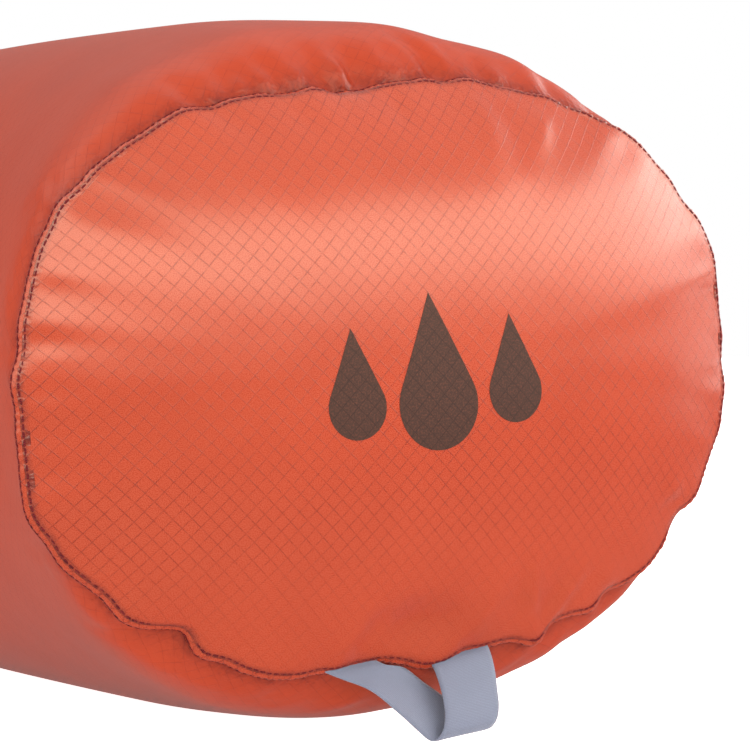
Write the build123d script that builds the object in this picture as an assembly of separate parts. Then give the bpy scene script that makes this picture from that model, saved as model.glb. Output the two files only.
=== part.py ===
from build123d import *
import math
import os

# A roll-top stuff sack lying on its side, filled tight with air. Millimetres, +Z up.
# The sack's length runs along Y: the oval base faces -Y and the rolled mouth is at +Y.
# The origin is the middle of the flat patch that the sack rests on.

# ---- driving dimensions -----------------------------------------------------
AXIS_Z = 144.0          # height of the sack's long axis over the floor
SEAM_Y = -235.0         # middle of the base seam
BASE_Z = 145.0          # height of the middle of the base seam
BASE_W = 315.0          # base oval, across
BASE_H = 223.4          # base oval, up and down
BASE_SQUARE = 2.45      # exponent of the base oval: 2 is an ellipse
BASE_ROLL = 4.5         # the oval is turned in its own plane, right side up
BASE_LEAN = 3.0         # the base leans back at its top
DOME_RISE = 34.0        # how far the filled base bulges
DOME_POWER = 2.8        # profile of the bulge
FABRIC = 0.8            # drawn thickness of the coated fabric
TAPE = 0.4              # seam tape
THREAD = 0.6            # sewing thread
INK = 0.3               # the printed mark
WELT = 3.0              # the folded seam allowance, front to back
WELT_PROUD = 1.2        # how far it stands out of the oval
WELT_DEEP = 4.0         # how far it reaches inwards
TAPE_WIDTH = 20.0
FELL_WIDTH = 10.0       # the lapped side seam

# distance behind the base seam, half width, half height, exponent of the oval, share of the base's
# turn and lean that the section still has
TUBE_SECTIONS = [
    (0.0, 157.5, 111.7, 2.45, 1.0),
    (12.0, 156.0, 127.5, 2.35, 1.0),
    (32.0, 153.0, 136.0, 2.25, 0.8),
    (75.0, 149.0, 141.0, 2.1, 0.4),
    (140.0, 145.5, 144.5, 2.0, 0.0),
    (260.0, 144.5, 145.5, 2.0, 0.0),
    (360.0, 144.5, 144.0, 2.0, 0.0),
    (415.0, 147.0, 124.0, 2.1, 0.0),
    (450.0, 144.0, 92.0, 2.2, 0.0),
    (474.0, 134.0, 54.0, 2.3, 0.0),
    (488.0, 118.0, 26.0, 2.4, 0.0),
    (496.0, 104.0, 13.5, 2.6, 0.0),
]

# the rolled mouth: a flat roll bent into a handle ring that lies in the XY plane
ROLL_THICK = 12.0
ROLL_HIGH = 28.0
ROLL_STRAIGHT = 150.0   # straight length between the bends
ROLL_BEND = 50.0        # centreline radius of the two bends
ROLL_Y = SEAM_Y + 496.0 + ROLL_THICK / 2
STIFFENER_THICK = 1.4
STIFFENER_HIGH = 22.0

# webbing and side-release buckle
WEB = 25.0
WEB_THICK = 1.6
BUCKLE_W = 34.0         # along Z
BUCKLE_T = 10.0         # along Y
BUCKLE_WALL = 1.6
BUCKLE_END = 31.0       # half the closed buckle's length
BAR_X = 28.0
BAR_R = 1.8
MOUTH_X = 10.0          # open end of the socket's housing
BACK_X = -19.0          # closed end of the socket's housing
PRONG_Z = 10.5          # middle of a prong at its root
PRONG_ROOT_X = 10.6     # a prong bends about this line
PRONG_TIP_X = -10.0
BUCKLE_Y = ROLL_Y + 2 * ROLL_BEND
PLUG_GAP = 0.4

# pull loop: a ribbon whose two ends are sewn side by side into the bottom of the base seam
RIBBON = 25.0
RIBBON_THICK = 1.4
# left and right edge of the ribbon, from its front end round the curl to its rear end
RIBBON_EDGES = [
    ((15.2, -243.8, 30.4), (39.8, -243.6, 34.2)),
    ((15.6, -246.6, 25.0), (40.3, -246.6, 28.0)),
    ((16.4, -249.6, 18.5), (41.0, -249.6, 20.5)),
    ((16.6, -251.6, 12.0), (41.0, -251.6, 14.0)),
    ((15.6, -252.0, 6.8), (39.6, -251.8, 9.4)),
    ((13.6, -250.2, 3.4), (37.4, -249.0, 6.4)),
    ((11.0, -249.4, 3.8), (33.4, -244.0, 8.2)),
    ((6.0, -250.6, 7.6), (25.0, -239.6, 15.0)),
    ((-4.0, -251.2, 15.0), (13.0, -238.4, 21.4)),
    ((-14.5, -248.6, 22.8), (2.5, -240.4, 27.4)),
    ((-27.0, -244.6, 26.6), (-4.5, -243.8, 29.4)),
]

os.makedirs("parts", exist_ok=True)


# ---- helpers ----------------------------------------------------------------
def oval(half_w, half_h, square, points=28):
    """A closed smooth oval as a face in the XY plane."""
    corners = []
    for i in range(points):
        angle = 2 * math.pi * i / points
        c = math.cos(angle)
        s = math.sin(angle)
        x = half_w * math.copysign(abs(c) ** (2 / square), c)
        y = half_h * math.copysign(abs(s) ** (2 / square), s)
        corners.append((x, y))
    return make_face(Spline(*corners, periodic=True))


def section_plane(behind, share):
    """The plane of a section: its X is to the right, its Y is up and its Z points out of the base."""
    roll = math.radians(BASE_ROLL * share)
    lean = math.radians(BASE_LEAN * share)
    out = Vector(0, -math.cos(lean), math.sin(lean))
    up = Vector(0, math.sin(lean), math.cos(lean))
    right = Vector(1, 0, 0)
    x_dir = right * math.cos(roll) + up * math.sin(roll)
    height = AXIS_Z + (BASE_Z - AXIS_Z) * share
    return Plane(origin=(0, SEAM_Y + behind, height), x_dir=x_dir, z_dir=out)


BASE = section_plane(0, 1)


def tube_solid(grow):
    """The filled sack behind the base seam, with its surface moved out by grow."""
    faces = []
    for behind, half_w, half_h, square, share in TUBE_SECTIONS:
        start = WELT / 2 if behind == 0 else 0
        face = oval(half_w + grow, half_h + grow, square)
        faces.append(section_plane(behind + start, share) * face)
    return loft(faces)


def above(solid, height):
    """The part of a solid that is over the given height."""
    keep = Pos(0, 0, height + 500) * Box(2000, 2000, 1000)
    return solid & keep


def dome_solid():
    """The filled base in front of its seam, in the base's own frame."""
    faces = []
    for share in (1.0, 0.97, 0.9, 0.8, 0.65, 0.45, 0.25, 0.1):
        rise = DOME_RISE * (1 - share ** DOME_POWER)
        face = oval(BASE_W / 2 * share, BASE_H / 2 * share, BASE_SQUARE)
        faces.append(Pos(0, 0, WELT / 2 + rise) * face)
    return loft(faces)


def dome_skin(inner, outer):
    """The layer of the filled base between two distances in front of the fabric's outer face."""
    return Pos(0, 0, outer) * dome_solid() - Pos(0, 0, inner) * dome_solid()


def seam_ring(inner, outer, low, high):
    """A flat ring that follows the base seam, in the base's own frame."""
    big = oval(BASE_W / 2 + outer, BASE_H / 2 + outer, BASE_SQUARE, 48)
    small = oval(BASE_W / 2 + inner, BASE_H / 2 + inner, BASE_SQUARE, 48)
    return Pos(0, 0, low) * extrude(big - small, high - low)


def side_strip(inner, outer, middle, width):
    """A strip along the sack's right side, between two distances from the fabric's outer face."""
    band = Pos(150, 10, AXIS_Z + middle) * Box(150, 478, width)
    return (tube_solid(outer) - tube_solid(inner)) & band


def save(shape, name):
    export_step(shape, f"parts/{name}.step")


# ---- sack -------------------------------------------------------------------
def body_tube():
    outside = above(tube_solid(0), 0)
    inside = above(tube_solid(-FABRIC), FABRIC)
    return outside - inside


def base_panel():
    in_front = Pos(0, 0, WELT / 2 + 500) * Box(1000, 1000, 1000)
    return BASE * (dome_skin(-FABRIC, 0) & in_front)


def drop(height):
    """A drop-shaped outline, point up, with its round end at the bottom."""
    r = height * 0.29
    reach = height - r
    side_x = r * math.sqrt(1 - (r / reach) ** 2)
    side_y = r * r / reach
    outline = Line((0, reach), (side_x, side_y))
    outline += ThreePointArc((side_x, side_y), (0, -r), (-side_x, side_y))
    outline += Line((-side_x, side_y), (0, reach))
    return make_face(outline)


def base_print():
    """Three drops printed on the base."""
    ink = dome_skin(0, INK)
    marks = Part()
    for x, y, height in ((-35, -12, 42), (0, -14, 60), (35, -12, 42)):
        marks += Pos(x, y, 0) * extrude(drop(height), 60)
    return BASE * (ink & marks)


# ---- rolled mouth -----------------------------------------------------------
def ring_slot(thick, high):
    """A flat ring along the roll's centreline, open where the buckle goes."""
    length = ROLL_STRAIGHT + 2 * ROLL_BEND
    outer = SlotOverall(length + thick, 2 * ROLL_BEND + thick)
    inner = SlotOverall(length - thick, 2 * ROLL_BEND - thick)
    ring = extrude(outer - inner, high / 2, both=True)
    gap = Pos(0, ROLL_BEND, 0) * Box(ROLL_STRAIGHT, 2 * thick, 2 * high)
    return Pos(0, ROLL_Y + ROLL_BEND, AXIS_Z) * (ring - gap)


def rolled_collar():
    roll = ring_slot(ROLL_THICK, ROLL_HIGH)
    edges = roll.edges().filter_by(GeomType.CIRCLE) + roll.edges().filter_by(Axis.X)
    rounded = fillet([e for e in edges if e.length > 40], 3.5)
    return rounded - ring_slot(STIFFENER_THICK + 0.2, STIFFENER_HIGH + 0.2)


def mouth_stiffener():
    return ring_slot(STIFFENER_THICK, STIFFENER_HIGH)


def webbing_tab(side):
    """Webbing from the roll's end round the buckle's bar and back, as one flat loop."""
    hole_r = BAR_R + 0.2
    eye_r = hole_r + WEB_THICK
    far = ROLL_STRAIGHT / 2
    strap = Pos((far + BAR_X) / 2, 0, 0) * Box(far - BAR_X, 2 * WEB_THICK, WEB)
    eye = Pos(BAR_X, 0, 0) * Cylinder(eye_r, WEB)
    hole = Pos(BAR_X, 0, 0) * Cylinder(hole_r, WEB + 2)
    tab = strap + eye - hole
    if side < 0:
        tab = mirror(tab, about=Plane.YZ)
    return Pos(0, BUCKLE_Y, AXIS_Z) * tab


def tab_stitching(side):
    """The bar tack through the two layers of a tab, standing a thread's thickness proud on both faces."""
    tacks = Part()
    for x in (44.0, 64.0):
        for y in (-1, 1):
            tacks += Pos(x, y * (WEB_THICK + THREAD / 2), 0) * Box(2.0, THREAD, WEB - 5)
    if side < 0:
        tacks = mirror(tacks, about=Plane.YZ)
    return Pos(0, BUCKLE_Y, AXIS_Z) * tacks


# ---- buckle -----------------------------------------------------------------
def web_frame(near, far):
    """The open frame that a tab is sewn round, with its bar."""
    middle = (near + far) / 2
    rails = Box(abs(far - near), BUCKLE_T - 3, BUCKLE_W) - Box(abs(far - near) + 1, BUCKLE_T, WEB + 1.5)
    bar_side = math.copysign(BAR_X, far)
    bar = Pos(bar_side, 0, 0) * Cylinder(BAR_R, BUCKLE_W - 2)
    return Pos(middle, 0, 0) * rails + bar


def buckle_socket():
    length = MOUTH_X - BACK_X
    middle = (MOUTH_X + BACK_X) / 2
    housing = Pos(middle, 0, 0) * Box(length, BUCKLE_T, BUCKLE_W)
    long_edges = housing.edges().filter_by(Axis.X)
    housing = fillet(long_edges, 2.2)
    cavity_length = length - BUCKLE_WALL
    cavity = Box(cavity_length + 1, BUCKLE_T - 2 * BUCKLE_WALL, BUCKLE_W - 2 * BUCKLE_WALL)
    housing -= Pos(middle + BUCKLE_WALL / 2 + 0.5, 0, 0) * cavity
    window = Box(14, BUCKLE_T - 3, BUCKLE_W + 2)
    housing -= Pos(-4, 0, 0) * window
    socket = housing + web_frame(BACK_X, -BUCKLE_END)
    return Pos(0, BUCKLE_Y, AXIS_Z) * socket


def buckle_plug():
    flange_x = MOUTH_X + PLUG_GAP
    flange = Pos(flange_x + 1.5, 0, 0) * Box(3.0, BUCKLE_T, BUCKLE_W)
    flange = fillet(flange.edges().filter_by(Axis.X), 2.2)
    for side in (-1, 1):
        flange -= Pos(flange_x, 0, side * PRONG_Z) * Box(3.2, 5.6, 5.2)
    tongue = Pos(flange_x - 8, 0, 0) * Box(16, 3.2, 6)
    plug = flange + tongue + web_frame(flange_x + 3, BUCKLE_END)
    return Pos(0, BUCKLE_Y, AXIS_Z) * plug


def buckle_prong(side):
    """A springy arm with its barb, which shows in the socket's side window."""
    length = PRONG_ROOT_X - PRONG_TIP_X
    arm = Pos((PRONG_ROOT_X + PRONG_TIP_X) / 2, 0, side * PRONG_Z) * Box(length, 4.6, 2.2)
    root = Pos(PRONG_ROOT_X, 0, side * PRONG_Z) * Cylinder(1.1, 4.6, rotation=(90, 0, 0))
    z = side * (PRONG_Z + 1.0)
    tip = side * (BUCKLE_W / 2 + 1.0)
    outline = Polyline((PRONG_TIP_X, z), (PRONG_TIP_X, z + side), (-7, tip), (0.5, tip), (2, z), close=True)
    barb = extrude(Plane.XZ * make_face(outline), 2.3, both=True)
    return Pos(0, BUCKLE_Y, AXIS_Z) * (arm + root + barb)


# ---- pull loop --------------------------------------------------------------
def ribbon_corners():
    """The four corners of the ribbon's section at each pair of edge points."""
    rows = []
    last = len(RIBBON_EDGES) - 1
    middles = [(Vector(*left) + Vector(*right)) / 2 for left, right in RIBBON_EDGES]
    for n, (left, right) in enumerate(RIBBON_EDGES):
        along = middles[min(n + 1, last)] - middles[max(n - 1, 0)]
        across = Vector(*right) - Vector(*left)
        half = along.cross(across).normalized() * (RIBBON_THICK / 2)
        rows.append([Vector(*left) - half, Vector(*right) - half, Vector(*right) + half, Vector(*left) + half])
    return rows


def pull_loop():
    rows = ribbon_corners()
    faces = [Face(Wire.make_polygon(rows[0])), Face(Wire.make_polygon(rows[-1]))]
    for row, following in zip(rows, rows[1:]):
        for k in range(4):
            m = (k + 1) % 4
            faces.append(Face(Wire.make_polygon([row[k], row[m], following[m]])))
            faces.append(Face(Wire.make_polygon([row[k], following[m], following[k]])))
    return Solid(Shell(faces))


def loop_stitching():
    """Bar tacks that hold the two ends of the pull loop in the base seam."""
    tacks = Part()
    low = -BASE_H / 2 - WELT_PROUD - THREAD
    for x in (27.5, -16.0):
        tacks += Pos(x, low + THREAD / 2, 0) * Box(RIBBON - 3, THREAD, 1.4)
    return BASE * tacks


save(body_tube(), "body_tube")
save(base_panel(), "base_panel")
save(base_print(), "base_print")
save(BASE * seam_ring(-WELT_DEEP, WELT_PROUD, -WELT / 2, WELT / 2), "base_seam_welt")
save(BASE * seam_ring(WELT_PROUD, WELT_PROUD + THREAD, 0.9, 1.5), "base_stitch_front")
save(BASE * seam_ring(WELT_PROUD, WELT_PROUD + THREAD, -1.5, -0.9), "base_stitch_rear")
save(BASE * seam_ring(-WELT_DEEP - TAPE, -WELT_DEEP, -WELT / 2, WELT / 2), "base_seam_tape")
save(side_strip(0, FABRIC, 0, FELL_WIDTH), "side_seam_fell")
save(side_strip(FABRIC, FABRIC + THREAD, 3.4, THREAD), "side_stitch_upper")
save(side_strip(FABRIC, FABRIC + THREAD, -3.4, THREAD), "side_stitch_lower")
save(side_strip(-FABRIC - TAPE, -FABRIC, 0, TAPE_WIDTH), "side_seam_tape")
save(rolled_collar(), "rolled_collar")
save(mouth_stiffener(), "mouth_stiffener")
for word, side in (("left", -1), ("right", 1)):
    save(webbing_tab(side), f"{word}_webbing_tab")
    save(tab_stitching(side), f"{word}_tab_stitching")
save(buckle_socket(), "buckle_socket")
save(buckle_plug(), "buckle_plug")
for word, side in (("lower", -1), ("upper", 1)):
    save(buckle_prong(side), f"{word}_prong")
save(pull_loop(), "pull_loop")
save(loop_stitching(), "loop_stitching")
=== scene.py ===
import math

import bmesh
import bpy
import numpy as np
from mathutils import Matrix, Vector
from mathutils.bvhtree import BVHTree


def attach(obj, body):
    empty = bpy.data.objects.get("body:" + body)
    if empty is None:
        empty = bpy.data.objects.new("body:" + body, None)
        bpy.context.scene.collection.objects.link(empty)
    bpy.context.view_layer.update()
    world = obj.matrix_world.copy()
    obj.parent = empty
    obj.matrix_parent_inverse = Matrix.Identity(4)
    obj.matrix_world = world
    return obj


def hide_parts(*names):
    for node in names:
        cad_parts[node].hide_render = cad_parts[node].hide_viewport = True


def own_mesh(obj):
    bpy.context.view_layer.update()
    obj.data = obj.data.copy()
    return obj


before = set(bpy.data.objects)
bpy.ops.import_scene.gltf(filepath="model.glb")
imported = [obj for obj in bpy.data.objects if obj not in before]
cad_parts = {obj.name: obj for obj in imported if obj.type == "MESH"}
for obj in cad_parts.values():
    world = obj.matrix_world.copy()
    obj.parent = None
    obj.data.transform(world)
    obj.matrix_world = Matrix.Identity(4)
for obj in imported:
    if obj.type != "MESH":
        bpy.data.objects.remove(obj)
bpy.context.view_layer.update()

# A roll-top stuff sack lying on its side, full of air. Metres, in the design's frame: the sack's
# length runs along Y, the oval base faces -Y and the rolled mouth is at +Y.

# ---- sizes, as in the design ------------------------------------------------
AXIS_Z = 0.144
SEAM_Y = -0.235
BASE_Z = 0.145
BASE_HALF_W = 0.1575
BASE_HALF_H = 0.1117
BASE_SQUARE = 2.45
BASE_ROLL = 4.5
BASE_LEAN = 3.0
DOME_RISE = 0.034
DOME_POWER = 2.8
WELT = 0.003
# distance behind the seam, half width, half height, exponent of the oval, share of turn and lean
TUBE_SECTIONS = [
    (0.000, 0.1575, 0.1117, 2.45, 1.0),
    (0.012, 0.1560, 0.1275, 2.35, 1.0),
    (0.032, 0.1530, 0.1360, 2.25, 0.8),
    (0.075, 0.1490, 0.1410, 2.1, 0.4),
    (0.140, 0.1455, 0.1445, 2.0, 0.0),
    (0.260, 0.1445, 0.1455, 2.0, 0.0),
    (0.360, 0.1445, 0.1440, 2.0, 0.0),
    (0.415, 0.1470, 0.1240, 2.1, 0.0),
    (0.450, 0.1440, 0.0920, 2.2, 0.0),
    (0.474, 0.1340, 0.0540, 2.3, 0.0),
    (0.488, 0.1180, 0.0260, 2.4, 0.0),
    (0.496, 0.1040, 0.0135, 2.6, 0.0),
]
TUBE_LENGTH = 0.496      # from the base seam to where the closed mouth enters the roll
CLOSING_FROM = 0.425     # how far behind the seam the tube starts to flatten into the mouth
MOUTH_OPEN = 0.0016
ROLL_Y = SEAM_Y + 0.502
ROLL_HALF = 0.075
ROLL_BEND = 0.050
ROLL_THICK = 0.012
ROLL_HIGH = 0.028
BUCKLE_Y = ROLL_Y + 2 * ROLL_BEND
WEB = 0.025
WEB_THICK = 0.0016
BAR_X = 0.028
BAR_R = 0.0018

# ---- cloth mesh -------------------------------------------------------------
COLUMNS = 240            # round the sack
CORE = COLUMNS // 4      # squares along one side of the base's core
CORE_SHARE = 0.72        # size of that core, as a share of the base
CORE_SQUARE = 3.1        # exponent of its outline
RIM_ROWS = 14            # rows between the core and the seam
ROW_STEP_SEAM = 0.0013   # between the body's rows at the base seam
ROW_STEP_MORE = 0.0041   # added to that further back
ROW_STEP_SHOULDER = 0.0034
ROW_STEP_MOUTH = 0.0024
SEAM_PULL = 0.007        # how far behind the seam its strays still pull at the body
RIPSTOP_TURN = 48        # degrees between the ripstop yarns and the panel's long direction

# ---- camera -----------------------------------------------------------------
CAMERA_LENS = 163.2
CAMERA_AZIMUTH = -30.0
CAMERA_ELEVATION = 1.5
CAMERA_DISTANCE = 1.3153
CAMERA_RIGHT = -0.00526  # the picture's middle is a little left of and below the base's middle
CAMERA_UP = -0.0018


# ---- small helpers ----------------------------------------------------------
def new_object(name, verts, faces, smooth=True, outwards=False):
    mesh = bpy.data.meshes.new(name)
    mesh.from_pydata([tuple(v) for v in verts], [], [tuple(f) for f in faces])
    mesh.validate()
    mesh.update()
    mesh.shade_smooth() if smooth else mesh.shade_flat()
    if outwards:
        work = bmesh.new()
        work.from_mesh(mesh)
        bmesh.ops.recalc_face_normals(work, faces=work.faces)
        work.to_mesh(mesh)
        work.free()
    obj = bpy.data.objects.new(name, mesh)
    bpy.context.scene.collection.objects.link(obj)
    return obj


def read(items, name, width, kind=float):
    """One value of each item of a mesh, as rows of that width."""
    flat = np.empty(len(items) * width, kind)
    items.foreach_get(name, flat)
    return flat.reshape(-1, width)


def points_of(obj):
    return read(obj.data.vertices, "co", 3)


def set_points(obj, points):
    obj.data.vertices.foreach_set("co", np.asarray(points, float).ravel())
    obj.data.update()


def set_uv(obj, uv):
    """One UV pair for each vertex, or for each loop where uv is as long as the loops."""
    layer = obj.data.uv_layers.new(name="pattern")
    pairs = np.asarray(uv, float)
    if len(pairs) != len(obj.data.loops):
        pairs = pairs[read(obj.data.loops, "vertex_index", 1, int)[:, 0]]
    layer.data.foreach_set("uv", pairs.ravel())


def grid_faces(rows, columns, closed=True, rows_closed=False):
    """Quads of a grid whose points are listed row by row; closed joins each row's two ends."""
    faces = []
    for r in range(rows if rows_closed else rows - 1):
        s = (r + 1) % rows
        for c in range(columns if closed else columns - 1):
            d = (c + 1) % columns
            faces.append((r * columns + c, r * columns + d, s * columns + d, s * columns + c))
    return faces


def capped_tube(name, rings):
    """A closed mesh through a row of rings of points, with both ends capped."""
    rows, n = rings.shape[:2]
    faces = grid_faces(rows, n)
    faces.append(tuple(range(n)))
    faces.append(tuple((rows - 1) * n + k for k in range(n))[::-1])
    return new_object(name, rings.reshape(-1, 3), faces, outwards=True)


def smooth_path(points, steps):
    """A smooth line through the points (Catmull-Rom), steps samples to each span."""
    p = np.asarray(points, float)
    p = np.vstack([2 * p[0] - p[1], p, 2 * p[-1] - p[-2]])
    out = []
    for i in range(1, len(p) - 2):
        for k in range(steps):
            t = k / steps
            a = 2 * p[i]
            b = (p[i + 1] - p[i - 1]) * t
            c = (2 * p[i - 1] - 5 * p[i] + 4 * p[i + 1] - p[i + 2]) * t ** 2
            d = (3 * p[i] - p[i - 1] - 3 * p[i + 1] + p[i + 2]) * t ** 3
            out.append((a + b + c + d) / 2)
    out.append(p[-2])
    return np.array(out)


def run_along(line):
    """Length along a line, or along each column of a sheet, up to each of its points."""
    step = np.linalg.norm(np.diff(line, axis=0), axis=-1)
    return np.concatenate([np.zeros_like(step[:1]), np.cumsum(step, axis=0)])


def at_lengths(line, lengths):
    """Points of a line at the given lengths along it."""
    line = np.asarray(line, float)
    run = run_along(line)
    return np.stack([np.interp(lengths, run, line[:, k]) for k in range(line.shape[1])], axis=-1)


def length_of(line):
    return float(np.linalg.norm(np.diff(np.asarray(line, float), axis=0), axis=1).sum())


def evenly(line, count, closed=True):
    """Evenly spaced points of a line. A closed line's last point is its first, and is left out."""
    return at_lengths(line, np.linspace(0, length_of(line), count, endpoint=not closed))


def unit(v):
    return v / np.maximum(np.linalg.norm(v, axis=-1, keepdims=True), 1e-12)


def subdivide(obj):
    """One subdivision, applied, so that the piece's mesh is final."""
    mod = obj.modifiers.new("round", "SUBSURF")
    mod.levels = 1
    mod.render_levels = 1
    bpy.context.view_layer.objects.active = obj
    bpy.ops.object.modifier_apply(modifier=mod.name)


# ---- the sack's outline -----------------------------------------------------
def oval(half_w, half_h, square, count, samples=4000):
    """Points evenly spaced round an oval, anticlockwise from its right end."""
    angle = np.linspace(0, 2 * math.pi, samples + 1)
    c = np.abs(np.cos(angle)) / half_w
    s = np.abs(np.sin(angle)) / half_h
    radius = (c ** square + s ** square) ** (-1 / square)
    line = np.stack([radius * np.cos(angle), radius * np.sin(angle)], axis=1)
    return evenly(line, count)


# where the sewn seam strays from its smooth oval: degrees round it, metres outwards, half width in
# degrees
SEAM_STRAYS = [
    (13, 0.0034, 7), (34, 0.0022, 5), (66, 0.0015, 3), (93, -0.0037, 8), (108, -0.0018, 4),
    (129, 0.0024, 4), (164, -0.0026, 6), (172, -0.0018, 4), (194, 0.0036, 5), (209, -0.0026, 3),
    (221, -0.0075, 4), (241, 0.0038, 8), (261, -0.0018, 4), (273, 0.0040, 5), (296, 0.0049, 3),
    (302, -0.0021, 3), (308, 0.0016, 2.5), (313, -0.0029, 3), (330, -0.0054, 4.5), (340, -0.0025, 5),
]
# short waves of the sewn seam: waves round the oval, metres, radians
SEAM_WAVES = [(29, 0.00028, 0.5), (43, 0.00030, 1.0), (57, 0.00022, 2.2)]


def stray(flat):
    """How far the seam strays outwards at points given in the base's plane."""
    angle = np.degrees(np.arctan2(flat[:, 1], flat[:, 0])) % 360
    out = np.zeros(len(flat))
    for waves, amount, start in SEAM_WAVES:
        out += amount * np.sin(np.radians(angle) * waves + start)
    for middle, amount, width in SEAM_STRAYS:
        away = (angle - middle + 180) % 360 - 180
        out += amount * np.exp(-(away / width) ** 2)
    return out


def strayed(flat, amount=1.0):
    """Points of an oval, moved outwards by the seam's strays."""
    return flat * (1 + stray(flat) * amount / np.linalg.norm(flat, axis=1))[:, None]


def plane_axes(share):
    """Right, up and outward directions of a section that has this share of the base's turn and lean."""
    roll = math.radians(BASE_ROLL * share)
    lean = math.radians(BASE_LEAN * share)
    out = np.array([0, -math.cos(lean), math.sin(lean)])
    up = np.array([0, math.sin(lean), math.cos(lean)])
    right = np.array([1.0, 0, 0])
    x_dir = right * math.cos(roll) + up * math.sin(roll)
    return x_dir, np.cross(out, x_dir), out


BASE_MID = np.array([0, SEAM_Y, BASE_Z])
BASE_RIGHT, BASE_UP, BASE_OUT = plane_axes(1)


def from_base(flat, out):
    """Points given in the base's plane, with a height in front of it."""
    place = BASE_MID + flat[:, :1] * BASE_RIGHT + flat[:, 1:2] * BASE_UP
    return place + np.reshape(out, (-1, 1)) * BASE_OUT


def section_values(behind):
    """Half width, half height, exponent and share at a distance behind the seam, without overshoot."""
    table = np.array(TUBE_SECTIONS)
    x = table[:, 0]
    y = table[:, 1:]
    slope = np.diff(y, axis=0) / np.diff(x)[:, None]
    tangent = np.zeros_like(y)
    both = slope[:-1] * slope[1:]
    safe = np.where(np.abs(slope[:-1] + slope[1:]) < 1e-12, 1, slope[:-1] + slope[1:])
    tangent[1:-1] = np.where(both > 0, 2 * both / safe, 0)
    tangent[0] = slope[0]
    tangent[-1] = slope[-1]
    i = int(np.clip(np.searchsorted(x, behind) - 1, 0, len(x) - 2))
    h = x[i + 1] - x[i]
    t = (behind - x[i]) / h
    a = y[i] * (2 * t ** 3 - 3 * t ** 2 + 1) + y[i + 1] * (3 * t ** 2 - 2 * t ** 3)
    return a + h * (tangent[i] * (t ** 3 - 2 * t ** 2 + t) + tangent[i + 1] * (t ** 3 - t ** 2))


def ring_side(outwards, columns):
    """The line along the roll's outer side, from the right wing over the middle to the left wing."""
    radius = ROLL_BEND + outwards
    arc = [(ROLL_HALF + radius * math.sin(a), ROLL_Y + ROLL_BEND - radius * math.cos(a))
           for a in np.linspace(math.radians(118), 0, 30)]
    line = np.array(arc + [(-x, y) for x, y in reversed(arc)])
    return evenly(line, columns, closed=False)


def mouth_row():
    """The closed mouth where it enters the roll: the upper layer over the lower one."""
    half = COLUMNS // 2
    line = ring_side(ROLL_THICK / 2 - 0.001, half + 1)
    rows = []
    for j in range(COLUMNS):
        upper = j <= half
        k = j if upper else COLUMNS - j
        edge = min(1.0, min(k, half - k) / 4)
        rows.append((line[k][0], line[k][1], AXIS_Z + (1 if upper else -1) * MOUTH_OPEN * edge))
    return np.array(rows)


def tube_rows():
    """Distances behind the seam of the rows of the body's mesh, close together near both ends."""
    rows = [WELT / 2]
    while rows[-1] < TUBE_LENGTH - 0.0025:
        behind = rows[-1]
        step = ROW_STEP_SEAM + ROW_STEP_MORE * (min(behind, 0.06) / 0.06)
        if behind > 0.40:
            step = ROW_STEP_SHOULDER
        if behind > 0.47:
            step = ROW_STEP_MOUTH
        rows.append(behind + step)
    return rows + [TUBE_LENGTH]


def body_shape(rows):
    """Places of the body's mesh, row by row, before any cloth work."""
    mouth = mouth_row()
    places = []
    for behind in rows:
        half_w, half_h, square, share = section_values(behind - WELT / 2 * math.exp(-behind / 0.01))
        fade = math.exp(-(behind / SEAM_PULL) ** 2)
        flat = strayed(oval(half_w, half_h, square, COLUMNS), fade)
        x_dir, y_dir, _ = plane_axes(share)
        middle = np.array([0, SEAM_Y + behind, AXIS_Z + (BASE_Z - AXIS_Z) * share])
        row = middle + flat[:, :1] * x_dir + flat[:, 1:] * y_dir
        closing = np.clip((behind - CLOSING_FROM) / (TUBE_LENGTH - CLOSING_FROM), 0, 1)
        blend = closing ** 2.2
        places.append(row * (1 - blend) + mouth * blend)
    return np.array(places)


def dome_rise(share):
    return WELT / 2 + DOME_RISE * (1 - np.clip(share, 0, 1) ** DOME_POWER)


def base_layout():
    """The base's mesh, a square core inside rings of rows: its points, its faces and its edge row."""
    edge = strayed(oval(BASE_HALF_W, BASE_HALF_H, BASE_SQUARE, COLUMNS))
    core_edge = oval(BASE_HALF_W, BASE_HALF_H, CORE_SQUARE, COLUMNS) * CORE_SHARE
    ring_at = {}
    for k in range(COLUMNS):
        q, r = divmod((k + CORE // 2) % COLUMNS, CORE)
        cell = [(CORE, r), (CORE - r, CORE), (0, CORE - r), (r, 0)][q]
        ring_at[cell] = k
    across = range(CORE + 1)
    bottom = [core_edge[ring_at[(i, 0)]] for i in across]
    top = [core_edge[ring_at[(i, CORE)]] for i in across]
    left = [core_edge[ring_at[(0, j)]] for j in across]
    right = [core_edge[ring_at[(CORE, j)]] for j in across]
    flat = []
    for i in across:
        for j in across:
            u = i / CORE
            v = j / CORE
            p = (1 - v) * bottom[i] + v * top[i] + (1 - u) * left[j] + u * right[j]
            p = p - ((1 - u) * (1 - v) * bottom[0] + u * (1 - v) * bottom[CORE])
            flat.append(p - ((1 - u) * v * top[0] + u * v * top[CORE]))
    faces = [(a, d, c, b) for a, b, c, d in grid_faces(CORE + 1, CORE + 1, closed=False)]
    last = [0] * COLUMNS
    for (i, j), k in ring_at.items():
        last[k] = i * (CORE + 1) + j
    for row in range(1, RIM_ROWS + 1):
        t = row / RIM_ROWS
        ring = [len(flat) + k for k in range(COLUMNS)]
        flat.extend(core_edge * (1 - t) + edge * t)
        for k in range(COLUMNS):
            m = (k + 1) % COLUMNS
            faces.append((last[k], ring[k], ring[m], last[m]))
        last = ring
    return np.array(flat), faces, last


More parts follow.
